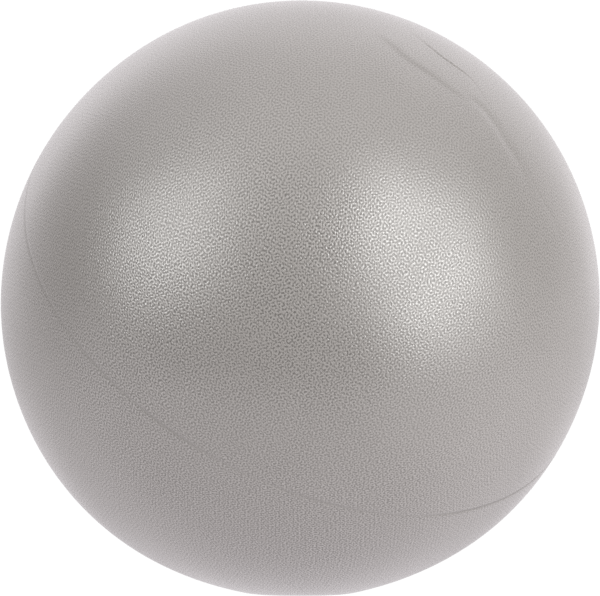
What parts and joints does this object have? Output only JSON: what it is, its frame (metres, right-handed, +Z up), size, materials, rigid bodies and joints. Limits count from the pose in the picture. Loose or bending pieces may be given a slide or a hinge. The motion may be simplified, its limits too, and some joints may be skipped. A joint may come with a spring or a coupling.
{
  "type": "exercise ball",
  "caption": "Inflated soft grey exercise ball with a pebbled skin, a fine parting line round it, and a push-in stopper in a bonded valve seat.",
  "frame": {"origin": "centre of the flat contact patch, where the resting ball touches the floor", "axes": "+Z up; +X to the right and +Y to the back of the resting ball, with its valve to the left, at the back and below the middle"},
  "size_m": [0.25, 0.25, 0.2486],
  "materials": {
    "skin_pvc": "satin pebble grain",
    "seat_pvc": "smooth satin",
    "plug_plastic": "smooth moulded"
  },
  "bodies": {
    "ball": {"ball_skin": "skin_pvc", "valve_seat": "seat_pvc"},
    "plug": {"valve_plug": "plug_plastic"}
  },
  "joints": [
    {"name": "plug_pull", "type": "slide", "parent": "ball", "child": "plug", "axis": [-0.3997, 0.589, -0.7023], "range_m": [0, 0.02]}
  ]
}
